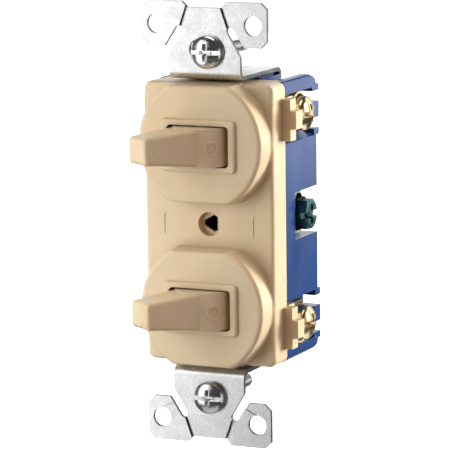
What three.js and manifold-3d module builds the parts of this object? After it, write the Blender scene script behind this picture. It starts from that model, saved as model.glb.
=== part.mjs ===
// Double toggle wall switch on one wrap-around yoke.
// Millimetres. +Z up, +X to the right seen from the front, the front faces -Y.
// Origin: midway between the two mounting screws, on the plane of the ears' rear faces.
import * as THREE from 'three';
import { mergeVertices } from 'three/addons/utils/BufferGeometryUtils.js';
import Module from 'manifold-3d';

const wasm = await Module();
wasm.setup();

// ---------------------------------------------------------------- driving dimensions
const DEG = Math.PI / 180;
const GAP = 0.3; // running gap between pieces that move past each other
const FIT = 0.15; // seat gap between pieces that are fixed together

const MOUNT_Z = 41.67; // mounting screws, 83.34 mm apart
const SWITCH_Z = 19.45; // centre of each toggle above or below the middle

const STRAP_T = 1.0;
const STRAP_HALF_W = 9.2; // neck, top run and back run
const STRAP_TOP_Z = 35.6; // outer face of the run over the body
const STRAP_BACK_Y = 23.0; // outer face of the back run
const BEND_IN = 1.0; // inner bend radius
const PLATE_TOP_Z = 51.6;
const EAR_TOP_Z = 53.05;
const EAR_LOW_Z = 42.35;
const EAR_X = 16.1;
const EAR_HOLE = { x: 12.55, z: 47.6, r: 2.33 };
const NOTCH_END = { x: 6.7, z: 46.2, r: 0.95 }; // round end of the gap between ear and plate
const SLOT_HALF = { w: 3.9, h: 2.5 }; // oblong mounting slot
const WEB_T = 0.4; // metal left under the break line of each ear

const COVER = { halfW: 16.8, halfH: 33.7, frontY: 0.4, backY: 7.5, wall: 1.6, roof: 2.0 };
const APRON = { halfW: 14.9, backY: 10.5 }; // end walls of the cover that lap over the body
const BOSS_Z = 19.65; // centre of each boss
const BOSS = {
  frontY: -5.0, rFace: 14.6, rEdge: 15.6, rFront: 15.95, rBase: 16.25, chord: 13.9, chordBase: 14.05,
};
const COLLAR = { halfW: 9.5, halfH: 6.15, frontY: -5.8 };
const OPENING = { halfW: 8.0, halfH: 4.9, r: 1.0 };
const CATCH = { boreR: 2.9, floorY: 2.0, cornerR: 2.2, cornerSpan: 14 }; // three-sided hole at the middle

const BODY = {
  halfW: 16.8, halfH: 33.9, frontY: 7.7, backY: 26.3, postY: 28.3, coreTopZ: 34.3, edgeR: 2.0,
};
const SIDE_FLOOR_X = 12.9; // floor of the side recesses
const WELL = { halfW: 11.9, halfH: 3.7, backY: 14.5 }; // room for each rocker

const TERMINAL = { y: 16.4, z: 25.35, lowZ: 19.5, highZ: 30.65 };
const TERMINAL_PLATE = { inX: 13.2, outX: 14.4, lowZ: 21.0, highZ: 29.9, frontY: 9.0, backY: 23.0 };
const CLAMP = { inX: 15.3, t: 1.2, half: 3.9, cornerR: 4.5 };
const GUARD = { holeR: 4.7, rimR: 5.1, endY: 12.5 }; // plate beside each terminal and its round rim
const TAB_X = { load: 20.6, line: 19.1 }; // reach of the middle tab on each side
const SCREW = { headR: 4.1, headT: 3.3, shankR: 2.05, length: 4.3 };

const GROUND = { y: 17.6, z: 0.9, halfH: 5.7, frontY: 13.1 };
const WING = { outX: 14.6, halfH: 5.0, frontY: 13.6 };
const GROUND_CLAMP_X = 15.25;
const GROUND_SCREW = { headR: 4.0, headT: 2.6, shankR: 2.05, length: 4.2 };
const MOUNTING_SCREW = { headR: 3.9, headT: 2.1, shankR: 1.75, length: 21.8 };

const TOGGLE = { y: -3.2, r: 6.8, halfZ: 4.55, tilt: 33.5 };
const SKIRT = { r: 8.9, from: 119, to: 150 }; // closes the opening beside the drum; degrees from the lever
const LEVER = { tipR: 17.8, rootR: 3.0, tipHalf: 4.0, rootHalf: 5.3, tipHalfZ: 3.27, rootHalfZ: 4.4 };
const LEG = { r: 3.1, length: 8.0, boreR: 2.1, boreStart: 1.0 };
const SPRING = { start: 1.3, end: 10.6, r: 1.6, wire: 0.3, turns: 5 };
const NOSE = { centre: 11.9, r: 1.1 }; // rounded end of the plunger, measured from the toggle's axis
const ROCKER = { y: 11.3, tilt: 6.6, halfZ: 2.8, t: 1.1, endX: 11.25 };
const CONTACT = { x: 10.0, r: 1.15, t: 0.9 };

const RIVET = { z: 8.6, shankR: 1.2, headR: 2.6 };

// ---------------------------------------------------------------- materials
const material = (color, roughness, metalness) => (
  new THREE.MeshStandardMaterial({ color, roughness, metalness })
);
const IVORY = material(0xe9d7b2, 0.45, 0);
const BLUE = material(0x47599c, 0.5, 0);
const ZINC = material(0xc9c8c4, 0.35, 1);
const STEEL = material(0xd6d6d4, 0.25, 1);
const BRASS = material(0xcda85a, 0.3, 1);
const SILVER = material(0xd9d9dc, 0.25, 1);
const GREEN = material(0x4f857f, 0.4, 0.6);
const BLACK = material(0x15181c, 0.5, 0.4);
const CARD = material(0xb9a88c, 0.9, 0);
const NYLON = material(0xe6e3da, 0.5, 0);

// ---------------------------------------------------------------- geometry helpers
/** Closed geometry to a manifold solid. */
function solid(geometry) {
  let g = geometry.clone();
  g.deleteAttribute('normal');
  if (g.getAttribute('uv')) g.deleteAttribute('uv');
  g = mergeVertices(g, 1e-5);
  return new wasm.Manifold(new wasm.Mesh({
    numProp: 3,
    vertProperties: new Float32Array(g.getAttribute('position').array),
    triVerts: new Uint32Array(g.getIndex().array),
  }));
}

function join(solids) {
  return solids.reduce((all, next) => all.add(next));
}

function cut(block, tools) {
  return tools.reduce((left, tool) => left.subtract(tool), block);
}

/** Named mesh of a manifold solid. */
function piece(name, shape, look) {
  const out = shape.getMesh();
  const g = new THREE.BufferGeometry();
  g.setAttribute('position', new THREE.BufferAttribute(new Float32Array(out.vertProperties), 3));
  g.setIndex(new THREE.BufferAttribute(new Uint32Array(out.triVerts), 1));
  g.computeVertexNormals();
  const mesh = new THREE.Mesh(g, look);
  mesh.name = name;
  return mesh;
}

/** Box from its low and high corners. */
function box(low, high) {
  const size = high.map((h, i) => h - low[i]);
  const g = new THREE.BoxGeometry(...size);
  g.translate(...low.map((l, i) => l + size[i] / 2));
  return solid(g);
}

const FRAMES = {
  x: [new THREE.Vector3(0, 1, 0), new THREE.Vector3(0, 0, 1), new THREE.Vector3(1, 0, 0)],
  y: [new THREE.Vector3(1, 0, 0), new THREE.Vector3(0, 0, 1), new THREE.Vector3(0, -1, 0)],
  z: [new THREE.Vector3(1, 0, 0), new THREE.Vector3(0, 1, 0), new THREE.Vector3(0, 0, 1)],
};

/** Outline pushed along an axis. x: outline is (y, z). y: outline is (x, z). z: outline is (x, y). */
function prism(outline, axis, from, to) {
  const g = new THREE.ExtrudeGeometry(outline, { depth: to - from, bevelEnabled: false, curveSegments: 10 });
  g.applyMatrix4(new THREE.Matrix4().makeBasis(...FRAMES[axis]));
  const start = axis === 'y' ? to : from;
  g.translate(axis === 'x' ? start : 0, axis === 'y' ? start : 0, axis === 'z' ? start : 0);
  return solid(g);
}

const polygon = (points) => new THREE.Shape(points.map((p) => new THREE.Vector2(...p)));

function circle(cx, cy, r, sides = 20) {
  const points = [];
  for (let i = 0; i < sides; i += 1) {
    const a = (i / sides) * 2 * Math.PI;
    points.push([cx + r * Math.cos(a), cy + r * Math.sin(a)]);
  }
  return polygon(points);
}

/** Points of a rectangle with round corners, anticlockwise. */
function roundedPoints(halfW, halfH, r, steps = 3) {
  const points = [];
  const corners = [[1, 1, 0], [-1, 1, 90], [-1, -1, 180], [1, -1, 270]];
  for (const [sx, sy, start] of corners) {
    for (let i = 0; i <= steps; i += 1) {
      const a = (start + (90 * i) / steps) * DEG;
      points.push([sx * (halfW - r) + r * Math.cos(a), sy * (halfH - r) + r * Math.sin(a)]);
    }
  }
  return points;
}

const roundedRect = (cx, cy, halfW, halfH, r) => (
  polygon(roundedPoints(halfW, halfH, r).map(([x, y]) => [x + cx, y + cy]))
);

/** Closed skin over convex rings of [x, y, z], anticlockwise seen from the front, listed front to back. */
function loft(rings) {
  const n = rings[0].length;
  const index = [];
  for (let k = 0; k + 1 < rings.length; k += 1) {
    for (let i = 0; i < n; i += 1) {
      const a = k * n + i;
      const b = k * n + ((i + 1) % n);
      index.push(a, b + n, b, a, a + n, b + n);
    }
  }
  const last = (rings.length - 1) * n;
  for (let i = 1; i + 1 < n; i += 1) {
    index.push(0, i, i + 1, last, last + i + 1, last + i);
  }
  const g = new THREE.BufferGeometry();
  g.setAttribute('position', new THREE.BufferAttribute(new Float32Array(rings.flat(2)), 3));
  g.setIndex(index);
  return solid(g);
}

/** Turned shape about the local Z axis; profile is [radius, z] from the axis round to the axis. */
function turned(profile, sides = 20) {
  const g = new THREE.LatheGeometry(profile.map((p) => new THREE.Vector2(...p)), sides);
  g.rotateX(Math.PI / 2);
  return solid(g);
}

function placed(mesh, position, rotation) {
  const group = new THREE.Group();
  group.position.set(...position);
  group.rotation.set(...rotation);
  group.add(mesh);
  return group;
}

// ---------------------------------------------------------------- mounting strap
/** Front plate with its two ears at one end; side is +1 for the top, -1 for the bottom. */
function earPlate(side) {
  const right = [
    [STRAP_HALF_W, STRAP_TOP_Z + BEND_IN],
    [STRAP_HALF_W, 40.2],
  ];
  const arcSteps = 8;
  for (let i = 0; i <= arcSteps; i += 1) {
    const a = (214 - (182 * i) / arcSteps) * DEG;
    right.push([NOTCH_END.x + NOTCH_END.r * Math.cos(a), NOTCH_END.z + NOTCH_END.r * Math.sin(a)]);
  }
  right.push(
    [10.35, EAR_LOW_Z],
    [14.5, EAR_LOW_Z],
    [EAR_X, 43.95],
    [EAR_X, 51.5],
    [14.5, EAR_TOP_Z],
    [5.8, EAR_TOP_Z],
    [4.35, PLATE_TOP_Z],
  );
  const left = right.map(([x, z]) => [-x, z]).reverse();
  const outline = [...right, ...left].map(([x, z]) => [x, side * z]);
  const plate = prism(polygon(outline), 'y', -STRAP_T, 0);
  const tools = [prism(roundedRect(0, side * MOUNT_Z, SLOT_HALF.w, SLOT_HALF.h, 2.4), 'y', -3, 2)];
  for (const sx of [-1, 1]) {
    tools.push(prism(circle(sx * EAR_HOLE.x, side * EAR_HOLE.z, EAR_HOLE.r), 'y', -3, 2));
    const breakLine = [[3.75, 52.6], [4.55, 52.6], [6.6, 46.9], [5.8, 46.9]];
    tools.push(prism(polygon(breakLine.map(([x, z]) => [sx * x, side * z])), 'y', -3, -WEB_T));
  }
  return cut(plate, tools);
}

/** Points along an arc in the strap's side view, as [y, z]. */
function arc(cy, cz, r, from, to, steps = 6) {
  const points = [];
  for (let i = 0; i <= steps; i += 1) {
    const a = (from + ((to - from) * i) / steps) * DEG;
    points.push([cy + r * Math.cos(a), cz + r * Math.sin(a)]);
  }
  return points;
}

/** The bent strip: from the top plate, over the body, down its back and forward again. */
function bentStrip() {
  const rOut = BEND_IN + STRAP_T;
  const foldZ = STRAP_TOP_Z + BEND_IN;
  const cornerY = STRAP_BACK_Y - rOut;
  const cornerZ = STRAP_TOP_Z - rOut;
  const upperFront = [[-STRAP_T, 38.5], ...arc(BEND_IN, foldZ, rOut, 180, 270)];
  const upperInner = arc(cornerY, cornerZ, BEND_IN, 90, 0);
  const upperOuter = arc(cornerY, cornerZ, rOut, 0, 90);
  const upperBack = [...arc(BEND_IN, foldZ, BEND_IN, 270, 180), [0, 38.5]];
  const mirror = (points) => points.map(([y, z]) => [y, -z]).reverse();
  const inside = [...upperFront, ...upperInner];
  const outside = [...upperOuter, ...upperBack];
  const outline = [...inside, ...mirror(inside), ...mirror(outside), ...outside];
  return prism(polygon(outline), 'x', -STRAP_HALF_W, STRAP_HALF_W);
}

/** Wing for the ground screw: out of the back run, then forward beside the body. */
function groundWing() {
  const rOut = BEND_IN + STRAP_T;
  const cornerX = WING.outX - rOut;
  const cornerY = STRAP_BACK_Y - rOut;
  const outline = [
    [STRAP_HALF_W - 1, STRAP_BACK_Y - STRAP_T],
    ...arc(cornerX, cornerY, BEND_IN, 90, 0),
    [WING.outX - STRAP_T, WING.frontY],
    [WING.outX, WING.frontY],
    ...arc(cornerX, cornerY, rOut, 0, 90),
    [STRAP_HALF_W - 1, STRAP_BACK_Y],
  ];
  const wing = prism(polygon(outline), 'z', GROUND.z - WING.halfH, GROUND.z + WING.halfH);
  return cut(wing, [prism(circle(GROUND.y, GROUND.z, SCREW.shankR + 0.2), 'x', 12, 16)]);
}

function mountingStrap() {
  const shape = join([bentStrip(), earPlate(1), earPlate(-1), groundWing()]);
  const rivetHoles = [-1, 1].map((s) => prism(circle(0, s * RIVET.z, RIVET.shankR + 0.2), 'y', 20, 25));
  return piece('mounting_strap', cut(shape, rivetHoles), ZINC);
}

// ---------------------------------------------------------------- front cover
/** Ring of a circle cut off by two level chords, centred at (0, y, cz). */
function bossRing(r, chord, y, cz) {
  const steps = 14;
  const a = Math.asin(chord / r);
  const ring = [];
  for (const flip of [0, Math.PI]) {
    for (let i = 0; i <= steps; i += 1) {
      const t = flip - a + (2 * a * i) / steps;
      ring.push([r * Math.cos(t), y, cz + r * Math.sin(t)]);
    }
  }
  return ring;
}

const rectRing = (halfW, halfH, r, y, cz) => (
  roundedPoints(halfW, halfH, r).map(([x, z]) => [x, y, z + cz])
);

function coverShell() {
  const { halfW, halfH, frontY, backY, wall, roof } = COVER;
  const shell = loft([
    rectRing(halfW - 1.0, halfH - 1.0, 1.2, frontY, 0),
    rectRing(halfW - 0.3, halfH - 0.3, 1.6, frontY + 0.25, 0),
    rectRing(halfW, halfH, 1.8, frontY + 0.9, 0),
    rectRing(halfW, halfH, 1.8, backY, 0),
  ]);
  const parts = [shell];
  for (const s of [-1, 1]) {
    const cz = s * SWITCH_Z;
    const bz = s * BOSS_Z;
    const inset = BOSS.rFront - BOSS.rEdge;
    parts.push(loft([
      bossRing(BOSS.rFace, BOSS.chord - (BOSS.rFront - BOSS.rFace), BOSS.frontY, bz),
      bossRing(BOSS.rEdge, BOSS.chord - inset, BOSS.frontY + 0.3, bz),
      bossRing(BOSS.rFront, BOSS.chord, BOSS.frontY + 0.8, bz),
      bossRing(BOSS.rBase, BOSS.chordBase, frontY + 1.5, bz),
    ]));
    parts.push(loft([
      rectRing(COLLAR.halfW - 0.2, COLLAR.halfH - 0.2, 0.5, COLLAR.frontY, cz),
      rectRing(COLLAR.halfW, COLLAR.halfH, 0.5, COLLAR.frontY + 0.2, cz),
      rectRing(COLLAR.halfW, COLLAR.halfH, 0.5, BOSS.frontY + 0.5, cz),
    ]));
  }
  const hollow = box(
    [-(halfW - wall), frontY + roof, -(halfH - wall)],
    [halfW - wall, backY + 1, halfH - wall],
  );
  return { outer: join(parts), hollow };
}

/** Stepped tabs and the guard plate round one side terminal. */
function terminalGuard(sx, sz) {
  const xs = (a, b) => (sx > 0 ? [a, b] : [-b, -a]);
  const zs = (a, b) => (sz > 0 ? [a, b] : [-b, -a]);
  const block = (x0, x1, y0, y1, z0, z1) => {
    const [xa, xb] = xs(x0, x1);
    const [za, zb] = zs(z0, z1);
    return box([xa, y0, za], [xb, y1, zb]);
  };
  const guard = join([
    block(COVER.halfW - 1.2, 19.1, 5.4, 8.6, 27.1, 29.9),
    block(COVER.halfW - 1.2, sx > 0 ? TAB_X.load : TAB_X.line, 5.4, 9.0, 22.9, 27.2),
    block(COVER.halfW - 1.2, 19.1, 5.4, 8.6, 20.0, 22.95),
    block(15.0, COVER.halfW - 0.2, 5.4, GUARD.endY, 20.0, 29.95),
  ]);
  const round = (r, x0, x1) => prism(circle(TERMINAL.y, sz * TERMINAL.z, r, 32), 'x', ...xs(x0, x1));
  const rim = round(GUARD.rimR, 15.0, COVER.halfW - 0.2).intersect(block(14, 18, 10, 21, 27.5, 31));
  return cut(guard.add(rim), [round(GUARD.holeR, 14, 18)]);
}

function frontCover() {
  const { outer, hollow } = coverShell();
  const tools = [hollow];
  for (const s of [-1, 1]) {
    const cz = s * SWITCH_Z;
    tools.push(prism(roundedRect(0, cz, OPENING.halfW, OPENING.halfH, OPENING.r), 'y', -8, 0));
    tools.push(box([-9.5, -4.2, cz - 5.4], [9.5, 3, cz + 5.4]));
    tools.push(box([-1.8, TOGGLE.y - 1.75, cz - 5.95], [1.8, 3, cz + 5.95]));
  }
  let shape = cut(outer, tools);
  const [apronLow, apronHigh] = [COVER.halfH - COVER.wall, COVER.halfH];
  for (const s of [-1, 1]) {
    const z = s > 0 ? [apronLow, apronHigh] : [-apronHigh, -apronLow];
    shape = shape.add(box([-APRON.halfW, COVER.backY - 1, z[0]], [APRON.halfW, APRON.backY, z[1]]));
  }
  shape = shape.add(prism(circle(0, 0, 4.8), 'y', 2.2, 6.6));
  for (const s of [-1, 1]) {
    shape = shape.add(prism(circle(0, s * RIVET.z, 2.8), 'y', 2.2, 7.4));
    for (const sx of [-1, 1]) shape = shape.add(terminalGuard(sx, s));
  }
  const catchHole = [180, 300, 60].flatMap((corner) => (
    [-CATCH.cornerSpan, CATCH.cornerSpan].map((turn) => {
      const a = (corner + turn) * DEG;
      return [CATCH.cornerR * Math.cos(a), CATCH.cornerR * Math.sin(a)];
    })
  ));
  const drills = [
    prism(circle(0, 0, CATCH.boreR), 'y', -1, CATCH.floorY),
    prism(polygon(catchHole), 'y', 1, 4),
    prism(circle(0, 0, 3.75, 6), 'y', 2.9, 7),
  ];
  for (const s of [-1, 1]) drills.push(prism(circle(0, s * RIVET.z, RIVET.shankR + 0.2), 'y', 3.2, 8));
  return piece('front_cover', cut(shape, drills), IVORY);
}

// ---------------------------------------------------------------- rear body
function rearBody() {
  const { halfW, halfH, frontY, backY, postY, coreTopZ, edgeR } = BODY;
  const side = [
    [frontY, -halfH],
    [frontY, halfH],
    ...arc(backY - 3, halfH - 3, 3, 90, 0),
    ...arc(backY - 3, -(halfH - 3), 3, 0, -90),
  ];
  const core = box([-8.8, frontY, -coreTopZ], [8.8, 19, coreTopZ]);
  const rounding = prism(roundedRect(0, 0, halfW, halfH, edgeR), 'y', frontY - 1, backY + 1);
  const posts = [];
  const apronSeat = COVER.halfH - COVER.wall - GAP;
  const backRunY = STRAP_BACK_Y - STRAP_T - GAP;
  const tools = [
    box([-9.6, backRunY, -40], [9.6, 40, 40]),
    box([SIDE_FLOOR_X, GROUND.frontY, GROUND.z - GROUND.halfH], [20, 40, GROUND.z + GROUND.halfH]),
    box([9, backRunY - 0.1, GROUND.z - GROUND.halfH], [14, 40, GROUND.z + GROUND.halfH]),
    prism(circle(GROUND.y, GROUND.z, 2.5), 'x', 11.2, 14),
    box([-(SIDE_FLOOR_X + 1.8), 6, -20.9], [-SIDE_FLOOR_X, 14.3, 20.9]),
    box([-20, 6, -4], [-SIDE_FLOOR_X, 14.3, 4]),
  ];
  for (const s of [-1, 1]) {
    const cz = s * SWITCH_Z;
    const lapZ = s > 0 ? [apronSeat, 36] : [-36, -apronSeat];
    tools.push(box([-APRON.halfW - GAP, 6, lapZ[0]], [APRON.halfW + GAP, APRON.backY + GAP, lapZ[1]]));
    tools.push(box([-WELL.halfW, 6, cz - WELL.halfH], [WELL.halfW, WELL.backY, cz + WELL.halfH]));
    tools.push(box([-SIDE_FLOOR_X - 0.5, 6, cz - 2.8], [-WELL.halfW + 1, 13.3, cz + 2.8]));
    tools.push(prism(circle(0, s * RIVET.z, RIVET.shankR + 0.25), 'y', 6, 24));
    for (const sx of [-1, 1]) {
      const recess = [
        [SIDE_FLOOR_X, TERMINAL.lowZ + 1.1],
        [halfW + 0.5, TERMINAL.lowZ - 0.8],
        [halfW + 0.5, TERMINAL.highZ],
        [SIDE_FLOOR_X, TERMINAL.highZ],
      ];
      tools.push(prism(polygon(recess.map(([x, z]) => [sx * x, s * z])), 'y', 6, 40));
      const pocketX = sx > 0 ? [11.2, 14] : [-14, -11.2];
      tools.push(prism(circle(TERMINAL.y, s * TERMINAL.z, 2.5), 'x', ...pocketX));
      const grooveX = sx > 0 ? [9.6, 13.9] : [-13.9, -9.6];
      const grooveZ = s > 0 ? [31.0, 36] : [-36, -31.0];
      tools.push(box([grooveX[0], 6, grooveZ[0]], [grooveX[1], 40, grooveZ[1]]));
      const bars = [[18.9, 20.5, backY - 1], [23.1, 27.0, 24.6], [29.6, 31.2, backY - 2]];
      for (const [z0, z1, y0] of bars) {
        const x = sx > 0 ? [SIDE_FLOOR_X - 0.5, halfW - 0.2] : [-(halfW - 0.2), -(SIDE_FLOOR_X - 0.5)];
        const z = s > 0 ? [z0, z1] : [-z1, -z0];
        posts.push(box([x[0], y0, z[0]], [x[1], postY, z[1]]));
      }
    }
  }
  const block = cut(prism(polygon(side), 'x', -halfW, halfW).intersect(rounding).add(core), tools);
  return piece('rear_body', join([block, ...posts]), BLUE);
}

// ---------------------------------------------------------------- toggle, spring and plunger
/** Toggle about its own axis (local Z), lever along local -Y. */
function toggleShape() {
  const ring = (half, halfZ, r, dist) => (
    roundedPoints(half, halfZ, r).map(([x, z]) => [x, -dist, z])
  );
  const lever = loft([
    ring(LEVER.tipHalf - 0.9, LEVER.tipHalfZ - 0.9, 0.5, LEVER.tipR),
    ring(LEVER.tipHalf - 0.25, LEVER.tipHalfZ - 0.25, 0.8, LEVER.tipR - 0.25),
    ring(LEVER.tipHalf, LEVER.tipHalfZ, 0.9, LEVER.tipR - 0.9),
    ring(LEVER.rootHalf, LEVER.rootHalfZ, 0.6, LEVER.rootR),
  ]);
  const drum = prism(circle(0, 0, TOGGLE.r, 40), 'z', -TOGGLE.halfZ, TOGGLE.halfZ);
  const skirts = [-1, 1].map((sx) => {
    const rim = arc(0, 0, SKIRT.r, SKIRT.from - 90, SKIRT.to - 90).map(([x, y]) => [sx * x, y]);
    return prism(polygon([[0, 0], ...rim]), 'z', -TOGGLE.halfZ, TOGGLE.halfZ);
  });
  const trunnion = prism(circle(0, 0, 1.5, 20), 'z', -5.7, 5.7);
  const leg = prism(circle(0, 0, LEG.r), 'y', 0, LEG.length);
  const bore = prism(circle(0, 0, LEG.boreR), 'y', LEG.boreStart, LEG.length + 1);
  return cut(join([drum, lever, ...skirts, trunnion, leg]), [bore]);
}

class Helix extends THREE.Curve {
  getPoint(t, target = new THREE.Vector3()) {
    const a = t * SPRING.turns * 2 * Math.PI;
    const start = SPRING.start + SPRING.wire;
    const y = start + (SPRING.end - SPRING.wire - start) * t;
    return target.set(SPRING.r * Math.cos(a), y, SPRING.r * Math.sin(a));
  }
}

function springShape() {
  const section = circle(0, 0, SPRING.wire, 5);
  const steps = SPRING.turns * 12;
  return solid(new THREE.ExtrudeGeometry(section, { steps, extrudePath: new Helix(), bevelEnabled: false }));
}

/** Plunger along local Z, nose at the far end. */
function plungerShape() {
  const profile = [[0, 8.6], [1.05, 8.6], [1.05, 10.8], [1.8, 10.8], [1.8, 11.6], [NOSE.r, 11.6]];
  const steps = 4;
  for (let i = 0; i <= steps; i += 1) {
    const a = (i / steps) * 90 * DEG;
    const r = i === steps ? 0 : NOSE.r * Math.cos(a);
    profile.push([r, NOSE.centre + NOSE.r * Math.sin(a)]);
  }
  return turned(profile, 14);
}

function toggleGroup(name, side) {
  const group = new THREE.Group();
  group.position.set(0, TOGGLE.y, side * SWITCH_Z);
  group.rotation.z = -TOGGLE.tilt * DEG;
  group.add(piece(`${name}_toggle`, toggleShape(), IVORY));
  group.add(piece(`${name}_toggle_spring`, springShape(), STEEL));
  const plunger = piece(`${name}_plunger`, plungerShape(), NYLON);
  plunger.rotation.x = -Math.PI / 2;
  group.add(plunger);
  return group;
}

// ---------------------------------------------------------------- rocker arm and contacts
/** Place of the plunger's nose in the rocker's own frame when the leg leans by `lean` degrees. */
function noseInRocker(lean) {
  const x = NOSE.centre * Math.sin(lean * DEG);
  const y = TOGGLE.y + NOSE.centre * Math.cos(lean * DEG) - ROCKER.y;
  const tilt = ROCKER.tilt * (lean / TOGGLE.tilt) * DEG;
  return [x * Math.cos(tilt) + y * Math.sin(tilt), -x * Math.sin(tilt) + y * Math.cos(tilt)];
}

/** Saddle that the nose sweeps along, one nose radius and a gap behind the path of its centre. */
function saddlePoints() {
  const steps = 12;
  const points = [];
  for (let i = 0; i <= steps; i += 1) {
    const lean = TOGGLE.tilt * ((2 * i) / steps - 1);
    const here = noseInRocker(lean);
    const next = noseInRocker(lean + 0.5);
    const length = Math.hypot(next[0] - here[0], next[1] - here[1]);
    const normal = [-(next[1] - here[1]) / length, (next[0] - here[0]) / length];
    const reach = NOSE.r + GAP;
    points.push([here[0] + normal[0] * reach, here[1] + normal[1] * reach]);
  }
  return points;
}

const SADDLE = saddlePoints();
const FLANGE_Y = SADDLE[SADDLE.length - 1][1]; // front face of the contact end, in the rocker's frame

function rockerShape() {
  const back = SADDLE.map(([x, y]) => [x, y + ROCKER.t]).reverse();
  const outline = [
    ...SADDLE,
    [ROCKER.endX, FLANGE_Y],
    [ROCKER.endX, FLANGE_Y + 0.9],
    [SADDLE[SADDLE.length - 1][0] + 0.5, FLANGE_Y + 0.9],
    ...back,
  ];
  return prism(polygon(outline), 'z', -ROCKER.halfZ, ROCKER.halfZ);
}

function rockerGroup(name, side) {
  const group = new THREE.Group();
  group.position.set(0, ROCKER.y, side * SWITCH_Z);
  group.rotation.z = ROCKER.tilt * DEG;
  group.add(piece(`${name}_rocker_arm`, rockerShape(), BRASS));
  const front = FLANGE_Y - FIT;
  const button = prism(circle(CONTACT.x, 0, CONTACT.r, 24), 'y', front - CONTACT.t, front);
  group.add(piece(`${name}_moving_contact`, button, SILVER));
  return group;
}

/** Face of the moving contact when the switch is on, in the row frame: [x, y]. */
function closedContact() {
  const a = -ROCKER.tilt * DEG;
  const y = FLANGE_Y - FIT - CONTACT.t;
  return [
    CONTACT.x * Math.cos(a) - y * Math.sin(a),
    ROCKER.y + CONTACT.x * Math.sin(a) + y * Math.cos(a),
  ];
}

const [FIXED_X, CLOSED_Y] = closedContact();
const FIXED_BACK_Y = CLOSED_Y - GAP; // leaves the tilted faces apart at their edges
const HOOK_BACK_Y = FIXED_BACK_Y - CONTACT.t - FIT;

function fixedContact(name, side) {
  const face = circle(FIXED_X, side * SWITCH_Z, CONTACT.r, 24);
  const disc = prism(face, 'y', FIXED_BACK_Y - CONTACT.t, FIXED_BACK_Y);
  return piece(`${name}_fixed_contact`, disc, SILVER);
}

// ---------------------------------------------------------------- terminals
function sideSpan(s, low, high) {
  return s > 0 ? [low, high] : [-high, -low];
}

/** Plate in the side recess with the hole for its screw; sx is the side, s is top or bottom. */
function screwPlate(sx, s) {
  const { inX, outX, lowZ, highZ, frontY, backY } = TERMINAL_PLATE;
  const [x0, x1] = sideSpan(sx, inX, outX);
  const [z0, z1] = sideSpan(s, lowZ, highZ);
  return box([x0, frontY, z0], [x1, backY, z1]);
}

const screwHole = (sx, s) => (
  prism(circle(TERMINAL.y, s * TERMINAL.z, SCREW.shankR + 0.15), 'x', ...sideSpan(sx, 12, 16))
);

function loadTerminal(name, side) {
  const { inX, outX, lowZ, highZ } = TERMINAL_PLATE;
  const hookFront = HOOK_BACK_Y - 1.0;
  const [hz0, hz1] = sideSpan(side, SWITCH_Z - 2.3, SWITCH_Z + 2.6);
  const [z0, z1] = sideSpan(side, lowZ, highZ);
  const [w0, w1] = sideSpan(side, SWITCH_Z - 2.3, highZ);
  const shape = join([
    box([FIXED_X - 1.4, hookFront, hz0], [outX, HOOK_BACK_Y, hz1]),
    box([inX, hookFront, w0], [outX, 7.3, w1]),
    box([inX, 7.0, z0], [outX, 12, z1]),
    screwPlate(1, side),
  ]);
  return piece(`${name}_load_terminal`, cut(shape, [screwHole(1, side)]), BRASS);
}

/** Common feed strip: two screw plates, a thin link with a break-off fin, and the rockers' fulcrums. */
function lineTerminalBar() {
  const { inX, outX } = TERMINAL_PLATE;
  const fulcrumTop = ROCKER.y + 0.15;
  const parts = [
    box([-outX, 9.2, -22], [-inX, 13.9, -1.8]),
    box([-outX, 9.2, 1.8], [-inX, 13.9, 22]),
    box([-outX, 10.4, -2.5], [-inX, 12.6, 2.5]),
    box([-16.3, 10.4, -1.3], [-inX, 12.6, 1.3]),
  ];
  for (const s of [-1, 1]) {
    const cz = s * SWITCH_Z;
    parts.push(screwPlate(-1, s));
    parts.push(box([-outX, 12.0, cz - 2.4], [1.6, 13.0, cz + 2.4]));
    const knife = [[-1.2, 12.5], [1.2, 12.5], [0.35, fulcrumTop], [-0.35, fulcrumTop]];
    parts.push(prism(polygon(knife), 'z', cz - 2.4, cz + 2.4));
  }
  const shape = cut(join(parts), [screwHole(-1, 1), screwHole(-1, -1)]);
  return piece('line_terminal_bar', shape, BRASS);
}

/** Square plate with clipped corners, flat in local XY, from z = 0 up. */
function clampShape(lug) {
  const { half, cornerR, t } = CLAMP;
  const flat = Math.sqrt(cornerR * cornerR - half * half);
  const outline = [
    [half, -flat], [half, flat], [flat, half], [-flat, half],
    [-half, flat], [-half, -flat], [-flat, -half], [flat, -half],
  ];
  let plate = prism(polygon(outline), 'z', 0, t);
  if (lug) plate = plate.add(prism(polygon([[3.6, -0.9], [5.0, 0], [3.6, 0.9]]), 'z', 0, t));
  return cut(plate, [prism(circle(0, 0, SCREW.shankR + 0.15), 'z', -1, 3)]);
}

/** Combination slot: a straight slot along local X and a shorter cross slot, cut from the crown down. */
function driveCuts(r, crown, depth) {
  return [
    box([-r - 1, -0.6, crown - depth], [r + 1, 0.6, crown + 1]),
    box([-0.55, -r * 0.58, crown - depth - 0.2], [0.55, r * 0.58, crown + 1]),
  ];
}

/** Pan-head screw along local Z; z = 0 under the head. */
function panScrew({ headR, headT, shankR, length }) {
  const rim = headT * 0.5;
  const profile = [
    [0, -length], [shankR - 0.6, -length], [shankR, -length + 0.6], [shankR, 0], [headR, 0], [headR, rim],
  ];
  const steps = 4;
  for (let i = 1; i <= steps; i += 1) {
    const a = (i / steps) * 90 * DEG;
    const r = i === steps ? 0 : headR * (1 - 0.55 * Math.sin(a) ** 2) * Math.cos(a) ** 0.35;
    profile.push([r, rim + (headT - rim) * Math.sin(a)]);
  }
  return cut(turned(profile), driveCuts(headR, headT, headT * 0.42));
}

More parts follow.
